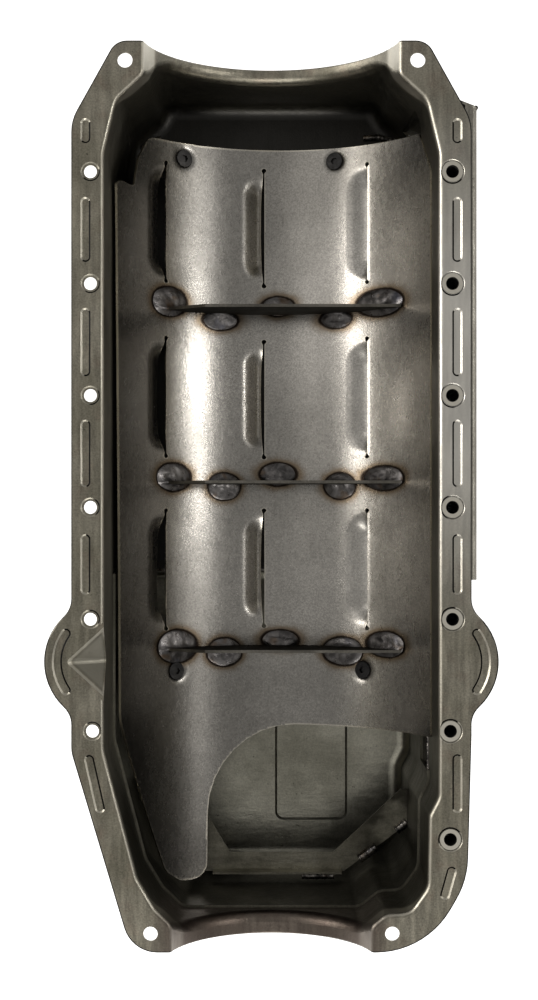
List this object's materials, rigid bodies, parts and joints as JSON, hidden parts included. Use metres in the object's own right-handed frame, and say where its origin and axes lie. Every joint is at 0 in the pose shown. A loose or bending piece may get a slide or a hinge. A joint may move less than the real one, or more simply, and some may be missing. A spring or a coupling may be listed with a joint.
{
  "type": "engine oil pan",
  "caption": "Fabricated steel oil pan for a racing V8, with a bolt rail, rear sump, kicked-out side and louvred windage tray.",
  "frame": {"origin": "on the gasket face of the bolt rail, midway between the two bolts of the third row, below the crank axis line", "axes": "+Z out of the open side, up to the engine block; +Y to the front of the engine; +X to its right-hand side, where the kickout is"},
  "size_m": [0.2626, 0.5267, 0.1877],
  "materials": {
    "pan_steel": "oiled satin, stamped",
    "baffle_steel": "oiled satin",
    "tray_steel": "satin, rolled",
    "tube_steel": "drawn tube, satin",
    "turned_steel": "turned",
    "black_oxide": "black oxide, satin",
    "plated_steel": "zinc plated, satin",
    "washer_copper": "copper, dull"
  },
  "bodies": {
    "root": {"pan_shell": "pan_steel", "sump_wrap": "pan_steel", "sump_floor": "pan_steel", "kickout_panel_front": "pan_steel", "kickout_cap_front": "pan_steel", "kickout_panel_rear": "pan_steel", "kickout_step": "pan_steel", "kickout_cap_rear": "pan_steel", "sump_shelf": "baffle_steel", "post_bracket_left": "baffle_steel", "post_bracket_right": "baffle_steel", "windage_tray": "tray_steel", "tray_plate_front": "tray_steel", "tray_plate_middle": "tray_steel", "tray_plate_rear": "tray_steel", "drain_bung": "turned_steel", "drain_plug": "plated_steel", "drain_washer": "washer_copper", "bolt_tube_1": "tube_steel", "bolt_tube_2": "tube_steel", "bolt_tube_3": "tube_steel", "bolt_tube_4": "tube_steel", "bolt_tube_5": "tube_steel", "bolt_tube_6": "tube_steel", "bolt_tube_7": "tube_steel", "tray_screw_front_left": "black_oxide", "tray_post_front_left": "turned_steel", "tray_screw_front_right": "black_oxide", "tray_post_front_right": "turned_steel", "tray_screw_rear_left": "black_oxide", "tray_post_rear_left": "turned_steel", "tray_screw_rear_right": "black_oxide", "tray_post_rear_right": "turned_steel"}
  },
  "joints": []
}
